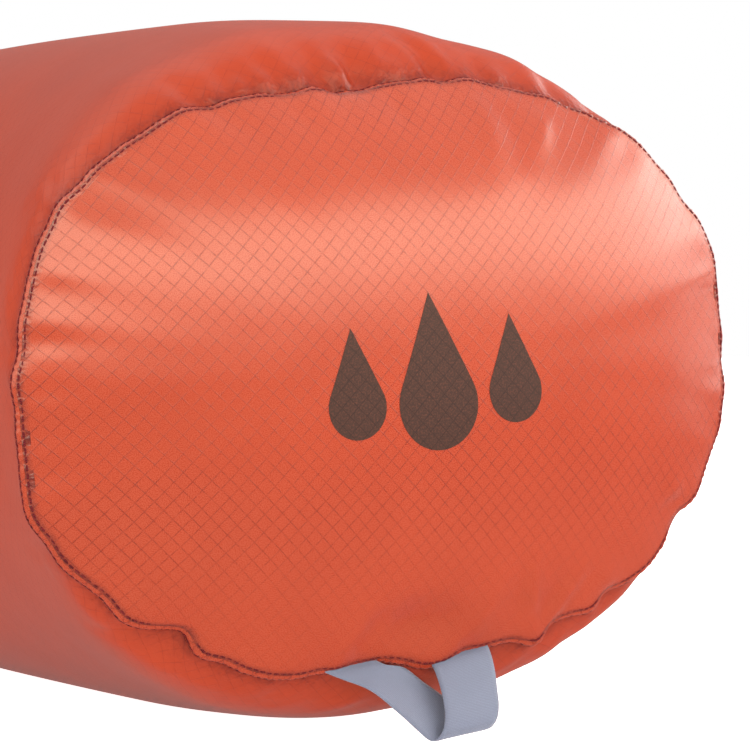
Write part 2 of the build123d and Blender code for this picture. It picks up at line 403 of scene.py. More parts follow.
def oval_share(flat):
    """0 in the base's middle and 1 on its seam."""
    x = np.abs(flat[:, 0]) / BASE_HALF_W
    y = np.abs(flat[:, 1]) / BASE_HALF_H
    plain = (x ** BASE_SQUARE + y ** BASE_SQUARE) ** (1 / BASE_SQUARE)
    radius = np.linalg.norm(flat, axis=1) / np.maximum(plain, 1e-6)
    return plain / (1 + stray(flat) * np.clip(plain, 0, 1) ** 9 / np.maximum(radius, 0.05))


# ---- the cloth --------------------------------------------------------------
PANEL_ROUND = 0.918      # the fabric tube's cut, round the sack
PANEL_SPARE = 1.01       # and along it, against the length of its shape
BASE_SPARE = 1.035       # the base is cut this much larger than its seam
FRAMES = 26
CLOTH = {
    "quality": 6, "mass": 0.12, "tension_stiffness": 40, "compression_stiffness": 25,
    "shear_stiffness": 12, "bending_stiffness": 0.12, "tension_damping": 8, "compression_damping": 8,
    "shear_damping": 6, "bending_damping": 0.6, "air_damping": 2, "vertex_group_mass": "held",
    "use_pressure": True, "uniform_pressure_force": 3.0,
}


def cloth_inflate(obj, rest, pinned):
    """Fills the fabric with air: its cut is rest, and the pinned points stay where seams hold them."""
    obj.shape_key_add(name="Basis")
    key = obj.shape_key_add(name="cut")
    key.data.foreach_set("co", rest.ravel())
    group = obj.vertex_groups.new(name="held")
    group.add([int(i) for i in pinned], 1.0, "REPLACE")
    mod = obj.modifiers.new("air", "CLOTH")
    for setting, value in CLOTH.items():
        setattr(mod.settings, setting, value)
    mod.settings.rest_shape_key = key
    mod.settings.effector_weights.gravity = 0
    mod.collision_settings.use_collision = False
    mod.point_cache.frame_start = 1
    mod.point_cache.frame_end = FRAMES
    for f in range(1, FRAMES + 1):
        bpy.context.scene.frame_set(f)
    graph = bpy.context.evaluated_depsgraph_get()
    moved = read(obj.evaluated_get(graph).to_mesh().vertices, "co", 3)
    obj.evaluated_get(graph).to_mesh_clear()
    obj.modifiers.remove(mod)
    obj.shape_key_clear()
    obj.vertex_groups.clear()
    bpy.context.scene.frame_set(1)
    return moved


def spread(values, edges, rounds):
    """Averages values over the mesh's neighbours, again and again."""
    count = np.zeros(len(values))
    np.add.at(count, edges[:, 0], 1)
    np.add.at(count, edges[:, 1], 1)
    out = values.copy()
    for _ in range(rounds):
        total = np.zeros_like(out)
        np.add.at(total, edges[:, 0], out[edges[:, 1]])
        np.add.at(total, edges[:, 1], out[edges[:, 0]])
        out = out * 0.4 + 0.6 * total / count[:, None]
    return out


def panel_work(obj, rest, pinned, keep_near, reach):
    """Runs the air simulation and keeps its folds, while the broad shape stays the design's. The broad
    part is what is left after reach rounds of averaging, and is kept only where keep_near is near 1."""
    plain = points_of(obj)
    moved = cloth_inflate(obj, rest, pinned) - plain
    broad = spread(moved, read(obj.data.edges, "vertices", 2, int), reach)
    return plain + moved - broad * (1 - keep_near[:, None])


# ---- folds of the base -----------------------------------------------------
# in millimetres: from and to, in the base's plane; height in front of the base; half width
BASE_FOLDS = [
    (58.5, -108, 73, -83, 4.2, 1.9), (66, -106, 80, -86, -3, 4.2),
    (54, -106, 64, -82, -2.2, 4), (49, -100, 44, -68, 2.2, 2.4),
    (43, -106, 38, -78, -2.2, 4.5), (22, -106, 34, -80, 1.6, 3.5),
    (-6, -110, -4, -84, -8.5, 13.5), (11, -108, 9, -88, -3.6, 4),
    (-26, -106, -18, -86, -2.4, 4.2), (-36, -106, -31, -90, 1.4, 3.5),
    (-137, -64, -124, -62, 1.3, 2), (-112, -88, -104, -78, -2.8, 3),
    (130, -65, 112, -66, -4, 2), (124, -60, 112, -59, 1.6, 3),
    (92, -98, 80, -82, 1.4, 3.5), (60, 100, 56, 72, -1.8, 5),
    (48, 102, 44, 74, 1.4, 4), (76, 96, 68, 78, 1.2, 3.5),
    (-35, 108, -30, 90, -1.6, 5.5), (-56, 104, -50, 90, -1.4, 4.5),
    (8, 108, 10, 92, -1.8, 4.5),
]


def fold_height(flat, fold):
    """A soft ridge or groove along a line, fading at both its ends."""
    a, end, (height, half_width) = np.reshape(fold, (3, 2))
    d = end - a
    size = np.linalg.norm(d)
    along = (flat - a) @ (d / size) / size
    across = (flat - a) @ np.array([-d[1], d[0]]) / size
    fade = np.clip(along + 0.15, 0, 0.3) / 0.3 * np.clip(1.15 - along, 0, 0.9) / 0.9
    return height * np.exp(-(across / half_width) ** 2) * fade * fade * (3 - 2 * fade)


def gathers(u, count, seed):
    """An uneven row of small puckers along a seam, about -1 to 1; u runs from 0 to 1 round it."""
    random = np.random.default_rng(seed)
    out = np.zeros(len(u))
    middles = (np.arange(count) + random.uniform(-0.4, 0.4, count)) / count
    sizes = random.uniform(0.25, 1.0, count) * np.where(np.arange(count) % 2, 1, -1)
    widths = random.uniform(0.28, 0.5, count) / count
    for middle, size, width in zip(middles, sizes, widths):
        away = (u - middle + 0.5) % 1 - 0.5
        out += size * np.exp(-(away / width) ** 2)
    return out


def rise_and_fade(depth, peak):
    """From 0 at the seam up to 1 at the peak's depth, and slowly back to 0."""
    return depth / peak * np.exp(1 - depth / peak)


# ---- body and base ----------------------------------------------------------
def make_body():
    """The body's fabric, and the number of rows of its mesh."""
    rows = tube_rows()
    places = body_shape(rows)
    places[:, :, 2] = np.maximum(places[:, :, 2], 0.0)
    count = len(rows)
    faces = [f[::-1] for f in grid_faces(count, COLUMNS)]
    obj = new_object("body_fabric", places.reshape(-1, 3), faces)
    run = run_along(places)
    u = np.arange(COLUMNS) / COLUMNS
    turn = 2 * math.pi * u
    radius = PANEL_ROUND / (2 * math.pi)
    cut_x, cut_z = (np.broadcast_to(radius * side(turn), run.shape) for side in (np.cos, np.sin))
    rest = np.stack([cut_x, SEAM_Y + run * PANEL_SPARE, AXIS_Z + cut_z], axis=2).reshape(-1, 3)
    pattern = []
    for r in range(count - 1):
        for c in range(COLUMNS):
            d = (c + 1) % COLUMNS
            for row, column, lap in ((r + 1, c, c), (r + 1, d, c + 1), (r, d, c + 1), (r, c, c)):
                pattern.append((lap / COLUMNS * PANEL_ROUND, run[row, column]))
    pinned = list(range(COLUMNS)) + list(range((count - 1) * COLUMNS, count * COLUMNS))
    behind = np.repeat(rows, COLUMNS)
    u = np.tile(u, count)
    near = np.exp(-(behind / 0.02) ** 2) + np.clip((behind - 0.44) / 0.03, 0, 1)
    points = panel_work(obj, rest, pinned, np.clip(near, 0, 1), reach=110)
    points = add_body_folds(points, behind, u)
    points[:, 2] = np.maximum(points[:, 2], 0.0)
    set_points(obj, points)
    set_uv(obj, pattern)
    # painted shade on the body behind the base seam, varying along with its puckers
    pucker_shade = 0.75 + 0.25 * gathers(u, *SEAM_GATHERS)
    fade = np.exp(-np.clip(behind - 0.002, 0, 1) / BODY_SHADE)
    seam_shade(obj, np.clip(fade * pucker_shade, 0, 1))
    return obj, count


ROUND_TO_TOP = 0.25      # share of the way round the sack, from its right side to its top
SEAM_GATHERS = (96, 5)   # puckers round the seam, seed
BODY_SHADE = 0.0028      # how far behind the seam the body's fabric gets painted shade
BASE_SHADE = 0.007       # how far the painted shade reaches in front of it, as a share of the base

# from and to, each as a share of the way round the sack and millimetres behind the seam; height and half
# width in millimetres
BODY_FOLDS = [
    (0.211, 1, 0.226, 30, -3.6, 3.4), (0.203, 1, 0.212, 24, 2.2, 3.8),
    (0.194, 1, 0.201, 18, -1.4, 3.5), (0.258, 1, 0.26, 8.5, 6, 3.2),
    (0.25, 1, 0.249, 7, -3, 2.6), (0.28, 1, 0.278, 6.5, 4.2, 2.2),
    (0.296, 1, 0.294, 7.5, 5, 2.4), (0.31, 1, 0.307, 7, 4.4, 2.2),
    (0.325, 1, 0.321, 6.5, 3.4, 2.2), (0.34, 2, 0.333, 10, 1.6, 2.8),
    (0.23, 1, 0.232, 7.5, 3.8, 2.6), (0.178, 1, 0.183, 8, 1.8, 2.8),
    (0.16, 4, 0.17, 40, 0.8, 7), (0.12, 4, 0.132, 34, -0.7, 6),
    (0.08, 4, 0.086, 30, 1.2, 5), (0.735, 2, 0.71, 24, 1.8, 4.5),
    (0.745, 2, 0.74, 14, -1.6, 3), (0.83, 4, 0.82, 30, 1, 5),
    (0.88, 4, 0.885, 28, -0.8, 4.5), (0.61, 2, 0.6, 24, -2, 4),
    (0.57, 2, 0.566, 20, 1.4, 4),
]
# the same, where the tube is pulled flat into the roll
SHOULDER_FOLDS = [
    (0.015, 492, 0.075, 385, 5, 8), (0.045, 492, 0.115, 395, -4, 9),
    (0.08, 490, 0.135, 410, 4, 7), (0.15, 490, 0.175, 420, -3, 8),
    (0.205, 490, 0.215, 415, 3.2, 7), (0.265, 490, 0.255, 425, -3, 8),
    (0.32, 490, 0.305, 410, 3.6, 7.5), (0.39, 490, 0.35, 400, -3.6, 8.5),
    (0.43, 492, 0.38, 395, 4.2, 8), (0.475, 492, 0.42, 380, 4.6, 8),
    (0.535, 492, 0.59, 385, 4.4, 8), (0.58, 490, 0.64, 400, -3.4, 8.5),
    (0.66, 490, 0.69, 415, 3.4, 7.5), (0.74, 490, 0.745, 420, -2.8, 8),
    (0.82, 490, 0.8, 410, 3.4, 7.5), (0.9, 490, 0.85, 400, -3.6, 8.5),
    (0.96, 492, 0.9, 385, 4.6, 8),
]


def add_body_folds(points, behind, u):
    """Short puckers where the body is gathered into the base seam, and the creases of its top."""
    grid = points.reshape(-1, COLUMNS, 3)
    round_it = np.roll(grid, -1, 1) - np.roll(grid, 1, 1)
    normal = unit(np.cross(round_it, np.gradient(grid, axis=0))).reshape(-1, 3)
    top = np.exp(-(((u - ROUND_TO_TOP + 0.5) % 1 - 0.5) / 0.11) ** 2)
    depth = np.clip(behind - WELT / 2, 0, 1)
    lift = gathers(u, *SEAM_GATHERS) * rise_and_fade(depth, 0.0035) * (0.0009 + 0.0021 * top)
    lift += gathers(u, 31, 8) * rise_and_fade(depth, 0.02) * (0.0005 + 0.0008 * top)
    flat = np.stack([u * PANEL_ROUND, behind], axis=1)
    for fold in np.array(BODY_FOLDS + SHOULDER_FOLDS) * ((PANEL_ROUND, 0.001) * 2 + (0.001, 0.001)):
        lift += fold_height(flat, fold)
    to_mouth = TUBE_LENGTH - 0.0005 - behind
    closing = np.clip((behind - 0.430) / 0.045, 0, 1) * np.clip(to_mouth / 0.010, 0, 1)
    lift += gathers(u, 46, 17) * closing * 0.0026
    lift *= np.clip(depth / 0.0030, 0, 1) * np.clip(to_mouth / 0.006, 0, 1)
    return points - normal * lift[:, None]


def make_base():
    flat, faces, edge = base_layout()
    share = oval_share(flat)
    share[edge] = 1.0
    places = from_base(flat, dome_rise(share))
    obj = new_object("base_fabric", places, faces)
    rest = from_base(flat * BASE_SPARE, np.zeros(len(flat)))
    near = np.exp(-((1 - share) / 0.10) ** 2)
    points = panel_work(obj, rest, edge, near, reach=60)
    set_points(obj, add_base_folds(points, flat, share))
    set_uv(obj, flat * BASE_SPARE)
    # painted shade on the base along its seam
    seam_shade(obj, np.exp(-np.clip(1 - share, 0, 1) / BASE_SHADE))
    return obj


def add_base_folds(points, flat, share):
    """The larger folds, and small puckers along the seam."""
    lift = np.zeros(len(flat))
    for fold in np.array(BASE_FOLDS) / 1000:
        lift += fold_height(flat, fold)
    depth = np.clip(1 - share, 0, 1)
    u = (np.degrees(np.arctan2(flat[:, 1] / BASE_HALF_H, flat[:, 0] / BASE_HALF_W)) % 360) / 360
    # a groove starts further in than a ridge, so that it stays clear of the seam's inner edge
    lift *= np.where(lift > 0, np.clip(depth / 0.03, 0, 1), np.clip((depth - 0.03) / 0.12, 0, 1))
    lift += gathers(u, 82, 3) * rise_and_fade(depth, 0.04) * 0.0007
    lift += gathers(u, 27, 4) * rise_and_fade(depth, 0.12) * 0.0006
    return points + lift[:, None] * BASE_OUT


def seam_shade(obj, amount):
    """How much painted shade a seam puts on the fabric, from 0 to 1, for its material."""
    layer = obj.data.attributes.new("seam", "FLOAT", "POINT")
    layer.data.foreach_set("value", np.asarray(amount, float).ravel())


# ---- the base seam ----------------------------------------------------------
SEAM_STEP = 0.001
# across the seam towards the base, and outwards: a raised band that leans back between two grooves
WELT_PROFILE = [
    (0.0030, -0.0030), (0.0024, -0.0018), (0.0020, -0.0011), (0.0018, -0.0009), (0.0015, -0.0001),
    (0.0010, 0.0007), (0.0003, 0.0012), (-0.0003, 0.0013), (-0.0007, 0.0010), (-0.0010, 0.0010),
    (-0.0014, 0.0014), (-0.0020, 0.0013), (-0.0027, 0.0006), (-0.0033, -0.0006), (0.0, -0.0036),
]
# painted shade for each row of the profile: full in the grooves and the tucked edges, faint on the
# raised band
WELT_SHADE = [1.0, 1.0, 1.0, 0.9, 0.15, 0.1, 0.1, 0.3, 1.0, 1.0, 0.45, 0.5, 0.8, 1.0, 1.0]
TAPE_PROFILE = [(-0.0036, -0.0040), (-0.0006, -0.0040), (-0.0006, -0.0044), (-0.0036, -0.0044)]
STITCH_FRONT = (0.0019, -0.0009)
STITCH_REAR = (-0.00085, 0.0011)
STITCH_PITCH = 0.0030
STITCH_LENGTH = 0.0024
THREAD_R = 0.00045


def seam_line(count):
    """Points along the seam in the base's plane, and their directions outwards and along it."""
    flat = strayed(oval(BASE_HALF_W, BASE_HALF_H, BASE_SQUARE, COLUMNS))
    line = evenly(smooth_path(np.vstack([flat, flat[:1]]), 6), count)
    along = unit(np.roll(line, -1, 0) - np.roll(line, 1, 0))
    return line, np.stack([along[:, 1], -along[:, 0]], axis=1), along


def seam_steps(pitch):
    return int(length_of(seam_line(400)[0]) / pitch)


def seam_ring(name, line, outwards, profile):
    """A closed band along the seam. Each row of its profile is a place across the seam and outwards."""
    rows = [from_base(line + outwards * np.reshape(out, (-1, 1)), np.full(len(line), across))
            for across, out in profile]
    faces = grid_faces(len(rows), len(line), rows_closed=True)
    return new_object(name, np.concatenate(rows), faces, outwards=True)


def seam_lean(line):
    """How far the seam's band stands out: widest along the sack's underside."""
    return 0.70 - 0.40 * line[:, 1] / BASE_HALF_H


def make_welt():
    count = seam_steps(SEAM_STEP)
    line, outwards, _ = seam_line(count)
    random = np.random.default_rng(11)
    wave = np.arange(count) * SEAM_STEP / STITCH_PITCH * 2 * math.pi
    pull = 0.00012 * np.cos(wave) + 0.0001 * random.standard_normal(count)
    lean = seam_lean(line)
    profile = [(across, (out * lean if out > 0 else out) + (pull if out > -0.001 else 0))
               for across, out in WELT_PROFILE]
    obj = seam_ring("base_seam_welt_fold", line, outwards, profile)
    seam_shade(obj, np.repeat(WELT_SHADE, count))
    u = np.tile(np.arange(count) * SEAM_STEP, len(profile))
    v = np.repeat([across for across, _ in WELT_PROFILE], count)
    set_uv(obj, np.stack([u, v], axis=1))
    return obj


def capsules(name, centres, along, sides=6):
    """Short round-ended stitches, one at each centre."""
    along = unit(np.asarray(along, float))
    helper = np.where(np.abs(along[:, 2:3]) < 0.9, np.array([[0, 0, 1.0]]), np.array([[1.0, 0, 0]]))
    a = unit(np.cross(along, helper))
    b = np.cross(along, a)
    # place along the stitch as a share of its length, and thickness as a share of the thread's
    rings = [(-0.5, 0.25), (-0.42, 0.8), (-0.2, 1.0), (0.2, 1.0), (0.42, 0.8), (0.5, 0.25)]
    verts = []
    for at, size in rings:
        for k in range(sides):
            turn = 2 * math.pi * k / sides
            spoke = (a * math.cos(turn) + b * math.sin(turn)) * THREAD_R * size
            verts.append(np.asarray(centres) + along * (at * STITCH_LENGTH) + spoke)
    verts = np.array(verts).transpose(1, 0, 2).reshape(-1, 3)
    each = len(rings) * sides
    one = grid_faces(len(rings), sides)
    one += [tuple(range(sides))[::-1], tuple(range(each - sides, each))]
    faces = [tuple(n * each + i for i in face) for n in range(len(centres)) for face in one]
    return new_object(name, verts, faces, outwards=True)


def make_seam_stitches(name, across, outside):
    count = seam_steps(STITCH_PITCH)
    line, outwards, along = seam_line(count)
    random = np.random.default_rng(3 if across > 0 else 4)
    outside = np.where(outside > 0, outside * seam_lean(line), outside)[:, None]
    centres = from_base(line + outwards * outside, np.full(count, across))
    direction = along[:, :1] * BASE_RIGHT + along[:, 1:] * BASE_UP
    tilt = random.normal(0, 0.05, (count, 1)) * BASE_OUT
    return capsules(name, centres, direction + tilt)


def make_seam_tape():
    """The tape sealed over the seam allowance, inside the sack."""
    line, outwards, _ = seam_line(COLUMNS)
    return seam_ring("base_seam_sealing_tape", line, outwards, TAPE_PROFILE)


# ---- strips of ribbon and webbing -------------------------------------------
def flat_strip(name, left, right, thick, across=12):
    """A ribbon between two edge lines, thin at its edges, fuller beside the left one; and its length."""
    middle = (left + right) / 2
    normal = unit(np.cross(unit(np.gradient(middle, axis=0)), right - left))
    shares = [0.55, 1.12] + [1.0] * (across - 2) + [0.55]
    profile = [(k / across, share) for k, share in enumerate(shares)]
    loop = profile + [(t, -s) for t, s in reversed(profile)]
    verts = [left * (1 - t) + right * t + normal * (s * thick / 2) for t, s in loop]
    obj = capped_tube(name, np.array(verts).transpose(1, 0, 2))
    run = run_along(middle)
    width = np.linalg.norm(right - left, axis=1)
    set_uv(obj, [(t * width[r], run[r]) for r in range(len(run)) for t, _ in loop])
    return obj, run[-1]


# left and right edge of the pull loop, in millimetres, from its front end round the curl to its rear end
RIBBON_EDGES = np.reshape([
    (15, -240.2, 31.8, 40.8, -239.8, 38.4), (15.2, -243.6, 29.4, 40.8, -243.4, 35.2),
    (15.6, -246.6, 24.8, 41.1, -246.4, 28.8), (15.8, -249.6, 18.5, 40.6, -249.4, 20.7),
    (15.6, -251.6, 11.6, 40, -251.6, 13.4), (14.2, -252, 5.8, 38.4, -251.8, 8.2),
    (12, -250.2, 2.4, 36, -249, 5.2), (9.4, -249.4, 2.8, 32.2, -244, 7.6),
    (4.4, -250.6, 6.4, 24.6, -239.6, 15.8), (-5, -251.2, 14.2, 13.6, -238.4, 23.6),
    (-15.6, -248.6, 23, 3.4, -240.8, 30), (-27, -245, 28, -7, -243.6, 32.2),
    (-35, -240.4, 31.8, -11.5, -239.8, 35.2),
], (-1, 2, 3)) / 1000
RIBBON_THICK = 0.0008


def make_pull_loop():
    left, right = (smooth_path(RIBBON_EDGES[:, edge], 9) for edge in (0, 1))
    return flat_strip("pull_loop_ribbon", left, right, RIBBON_THICK)


def make_loop_stitching():
    """Bar tacks through the two ends of the ribbon, just under the seam."""
    centres = []
    along = []
    for left, right in (RIBBON_EDGES[0], RIBBON_EDGES[-1]):
        for k in range(8):
            t = 0.08 + 0.84 * k / 7
            centres.append(left * (1 - t) + right * t + np.array([0, 0.0006, -0.0008]))
            along.append(right - left + np.array([0, 0, 0.004 * (-1) ** k]))
    return capsules("pull_loop_bar_tacks", centres, along)


# ---- rolled mouth -----------------------------------------------------------
ROLL_TURNS = 3.2
ROLL_PITCH = 0.00135     # from one layer of the roll to the next
ROLL_LAYER = 0.0006
ROLL_SQUARE = 3.2        # exponent of the roll's outline, seen from its end
RING_STEP = 0.0035       # between the points along the roll


def ring_line():
    """The roll's centreline from its left end round to its right end, with its outward directions."""
    far = ROLL_Y + ROLL_BEND
    arc = [(ROLL_BEND * math.sin(a), ROLL_BEND * math.cos(a)) for a in np.linspace(0, math.pi / 2, 40)]
    half = [(-ROLL_HALF - s, far + c) for s, c in arc] + [(-ROLL_HALF - c, far - s) for s, c in arc[1:]]
    line = np.array(half + [(-x, y) for x, y in reversed(half)])
    line = at_lengths(line, np.arange(0, length_of(line), RING_STEP))
    along = unit(np.gradient(line, axis=0))
    return line, np.stack([along[:, 1], -along[:, 0]], axis=1)


def roll_profile(points_per_turn=34):
    """One layer of fabric wound up, seen from the end: outwards and up, as a closed outline."""
    outer = []
    inner = []
    count = int(ROLL_TURNS * points_per_turn)
    for k in range(count + 1):
        turn = 2 * math.pi * k / points_per_turn
        shrink = ROLL_PITCH * k / points_per_turn
        c, s = math.cos(turn), math.sin(turn)
        for shape, deep in ((outer, 0.0), (inner, ROLL_LAYER)):
            half_r = ROLL_THICK / 2 - shrink - deep
            half_z = ROLL_HIGH / 2 - shrink - deep
            power = abs(c / half_r) ** ROLL_SQUARE + abs(s / half_z) ** ROLL_SQUARE
            radius = power ** (-1 / ROLL_SQUARE)
            shape.append((radius * c, radius * s))
    return np.array(outer + inner[::-1])


def make_collar():
    line, outwards = ring_line()
    profile = roll_profile()
    random = np.random.default_rng(21)
    s = np.arange(len(line)) * RING_STEP

    def waves(shortest, longest, count):
        sizes = random.uniform(shortest, longest, count)
        return sum(np.sin(2 * math.pi * s / wave + phase) / count
                   for wave, phase in zip(sizes, random.uniform(0, 6.3, count)))

    ripple = waves(0.011, 0.028, 6)
    lift = waves(0.05, 0.14, 4)
    bend = np.clip((np.abs(line[:, 0]) - ROLL_HALF) / 0.02, 0, 1)
    inside = np.clip(-profile[:, 0] / (ROLL_THICK / 2), 0, 1)
    near_edge = np.abs(profile[:, 1]) / (ROLL_HIGH / 2)
    rings = []
    for r in range(len(line)):
        size = 1 + ripple[r] * (0.16 * bend[r] * inside + 0.05) * (0.4 + 0.6 * near_edge)
        radial = profile[:, 0] * size
        up = profile[:, 1] * (1 + 0.02 * ripple[r]) + 0.0007 * lift[r]
        x, y = (line[r, k] + outwards[r, k] * radial for k in (0, 1))
        rings.append(np.column_stack([x, y, AXIS_Z + up]))
    n = len(profile)
    faces = grid_faces(len(line), n)
    for end in (0, (len(line) - 1) * n):
        for k in range(n // 2 - 1):
            quad = (end + k, end + k + 1, end + n - 2 - k, end + n - 1 - k)
            faces.append(quad if end else quad[::-1])
    obj = new_object("rolled_collar_fabric", np.concatenate(rings), faces, outwards=True)
    along = run_along(profile)
    set_uv(obj, [(at, up) for at in s for up in along])
    return obj


def tab_line(side):
    """The webbing of one tab: out of the roll, round the buckle's bar and back."""
    eye = BAR_R + 0.0010
    start = ROLL_HALF + 0.005
    half = [(start, 0.0009), (0.062, 0.0009), (0.046, 0.0009), (0.036, 0.0011), (0.0312, eye * 0.86)]
    arc = [(BAR_X + eye * math.cos(a), eye * math.sin(a)) for a in np.radians([78, 115, 150, 180])]
    line = half + arc
    line = line + [(x, -y) for x, y in reversed(line[:-1])]
    path = smooth_path(line, 5)
    return np.stack([side * path[:, 0], BUCKLE_Y + path[:, 1]], axis=1)


def make_tab(word, side):
    path = tab_line(side)
    low = np.column_stack([path, np.full(len(path), AXIS_Z - WEB / 2 + 0.0002)])
    high = np.column_stack([path, np.full(len(path), AXIS_Z + WEB / 2 - 0.0002)])
    return flat_strip(f"{word}_webbing", low, high, WEB_THICK * 0.8, across=10)


TACKS_X = (0.044, 0.064)
TACK_LIFT = 0.00165      # from the tab's middle to its stitches


def make_tab_stitches(word, side):
    """Two bar tacks, each a tight zigzag, on both faces of a tab."""
    centres = []
    along = []
    for x in TACKS_X:
        for face in (-1, 1):
            for k in range(16):
                z = (k - 7.5) / 7.5 * (WEB / 2 - 0.003)
                centres.append((side * x, BUCKLE_Y + face * TACK_LIFT, AXIS_Z + z))
                along.append((1.0, 0, 0.35 * (-1) ** k))
    return capsules(f"{word}_bar_tacks", centres, along)


# ---- side seam --------------------------------------------------------------
COLUMN_WIDTH = PANEL_ROUND / COLUMNS


def on_body(grid, column, lift):
    """A line of points over the body's mesh at a place round it, counted in columns."""
    low = int(math.floor(column))
    t = column - low
    a = grid[:, low % COLUMNS]
    b = grid[:, (low + 1) % COLUMNS]
    place = a * (1 - t) + b * t
    return place + unit(np.cross(np.gradient(place, axis=0), b - a)) * lift


def strip_on_body(name, grid, width, lift, thick):
    """A lapped strip of cloth along the side of the body."""
    # place across as a share of the width, and height over the body
    half = [(0.5, lift - 0.0004), (0.46, lift + thick), (0.2, lift + thick * 1.1)]
    loop = [(-a, h) for a, h in half] + half[::-1] + [(0.3, lift - 0.0006), (-0.3, lift - 0.0006)]
    lines = [on_body(grid, a * width / COLUMN_WIDTH, h) for a, h in loop]
    rings = np.array(lines).transpose(1, 0, 2)
    obj = capped_tube(name, rings)
    run = run_along(rings[:, 0])
    set_uv(obj, [(a * width, at) for at in run for a, _ in loop])
    # painted shade on the strip's lapped edges and underside, none on its top
    seam_shade(obj, np.tile([1.0, 0.5, 0.0, 0.0, 0.5, 1.0, 1.0, 1.0], len(run)))
    return obj


def side_stitches(name, grid, offset):
    line = on_body(grid, offset / COLUMN_WIDTH, 0.0009)
    count = int(length_of(line) / STITCH_PITCH)
    centres = at_lengths(line, (np.arange(count) + 0.5) * STITCH_PITCH)
    return capsules(name, centres, np.gradient(centres, axis=0))


# ---- print ------------------------------------------------------------------
# middle in the base's plane, and height, of each drop
PRINT_DROPS = ((-0.035, -0.012, 0.042), (0.0, -0.014, 0.060), (0.035, -0.012, 0.042))
INK_LIFT = 0.00012
INK_RINGS = 16
ABOVE_BASE = 0.08        # clear of the base's bulge


def drop_outline(height, count=72):
    """A drop with its point up and its round end down."""
    r = height * 0.29
    reach = height - r
    touch = math.asin(r / reach)
    arc = np.linspace(touch, -math.pi - touch, count)
    line = np.array([(0, reach)] + [(r * math.cos(a), r * math.sin(a)) for a in arc] + [(0, reach)])
    return evenly(line, count)


def make_print(base):
    """The ink lies on the base's fabric, so each point is dropped onto it."""
    tree = BVHTree.FromObject(base, bpy.context.evaluated_depsgraph_get())
    verts = []
    faces = []
    uv = []
    for x, y, height in PRINT_DROPS:
        outline = drop_outline(height)
        count = len(outline)
        start = len(verts)
        middle = np.array([0, height * 0.1])
        at = np.array([x, y])
        flats = [np.array([middle + at])]
        for ring in range(1, INK_RINGS + 1):
            flats.append(middle + (outline - middle) * ring / INK_RINGS + at)
        flat = np.vstack(flats)
        for point, pair in zip(from_base(flat, np.full(len(flat), ABOVE_BASE)), flat):
            hit, normal, _, _ = tree.ray_cast(Vector(point), Vector(-BASE_OUT))
            verts.append(hit + normal * INK_LIFT)
            uv.append(pair * BASE_SPARE)
        for k in range(count):
            m = (k + 1) % count
            faces.append((start, start + 1 + k, start + 1 + m))
            for ring in range(INK_RINGS - 1):
                a = start + 1 + ring * count
                faces.append((a + k, a + count + k, a + count + m, a + m))
    obj = new_object("base_print_drops", verts, faces, outwards=True)
    if obj.data.polygons[0].normal.y > 0:
        obj.data.flip_normals()
    set_uv(obj, uv)
    return obj


# ---- materials --------------------------------------------------------------
class Nodes:
    """Adds nodes to a tree. A socket is given as a value, or as another node's output."""

    def __init__(self, tree):
        self.tree = tree

    def put(self, kind, inputs=None, **settings):
        node = self.tree.nodes.new(kind)
        for key, value in settings.items():
            setattr(node, key, value)
        for socket, value in (inputs or {}).items():
            if isinstance(value, bpy.types.NodeSocket):
                self.tree.links.new(value, node.inputs[socket])
            else:
                node.inputs[socket].default_value = value
        return node

    def math(self, operation, a, b=0.0):
        return self.put("ShaderNodeMath", {0: a, 1: b}, operation=operation).outputs[0]

    def vector(self, operation, a, inputs):
        return self.put("ShaderNodeVectorMath", {0: a, **inputs}, operation=operation).outputs[0]

    def axes(self, vector):
        return self.put("ShaderNodeSeparateXYZ", {0: vector}).outputs

    def spread(self, value, low, high, to_low=0.0, to_high=1.0, smooth=False):
        kind = "SMOOTHSTEP" if smooth else "LINEAR"
        inputs = {"Value": value, "From Min": low, "From Max": high, "To Min": to_low, "To Max": to_high}
        return self.put("ShaderNodeMapRange", inputs, interpolation_type=kind).outputs["Result"]

    def noise(self, vector, scale, detail=2.0, rough=0.5):
        inputs = {"Vector": vector, "Scale": scale, "Detail": detail, "Roughness": rough}
        return self.put("ShaderNodeTexNoise", inputs).outputs["Fac"]

    def mix(self, factor, a, b):
        return self.put("ShaderNodeMix", {0: factor, 6: a, 7: b}, data_type="RGBA").outputs[2]

    def pattern(self):
        return self.put("ShaderNodeUVMap", uv_map="pattern").outputs["UV"]

    def place(self):
        return self.put("ShaderNodeTexCoord").outputs["Object"]


class Material(Nodes):
    """A node material around one Principled shader."""

    def __init__(self, name, **sockets):
        self.made = bpy.data.materials.new(name)
        self.made.use_nodes = True
        super().__init__(self.made.node_tree)
        self.shader = self.tree.nodes["Principled BSDF"]
        for socket, value in sockets.items():
            self.shader.inputs[socket.replace("_", " ")].default_value = value

    def give(self, colour, rough=None, normal=None):
        """Links the shader's colour, roughness and normal, and gives the material."""
        for socket, value in (("Base Color", colour), ("Roughness", rough), ("Normal", normal)):
            if value is not None:
                self.tree.links.new(value, self.shader.inputs[socket])
        return self.made

    def bump(self, height, distance, strength=1.0, under=None):
        inputs = {"Height": height, "Distance": distance, "Strength": strength}
        if under is not None:
            inputs["Normal"] = under
        return self.put("ShaderNodeBump", inputs).outputs["Normal"]


RIPSTOP_PITCH = 0.005
FABRIC_GROUND = (0.240, 0.0205, 0.0045, 1)
FABRIC_YARN = (0.125, 0.0020, 0.0010, 1)
FABRIC_PALE = (0.345, 0.0360, 0.0105, 1)
# dark maroon of the painted shade along seams
SEAM_PAINTED_SHADE = (0.070, 0.002, 0.004, 1)
GLOSS_TINT = (1.0, 0.80, 0.60, 1)
INK_DARK = (0.030, 0.013, 0.010, 1)
INK_WORN = (0.105, 0.030, 0.018, 1)
INK_YARN = (0.012, 0.006, 0.006, 1)


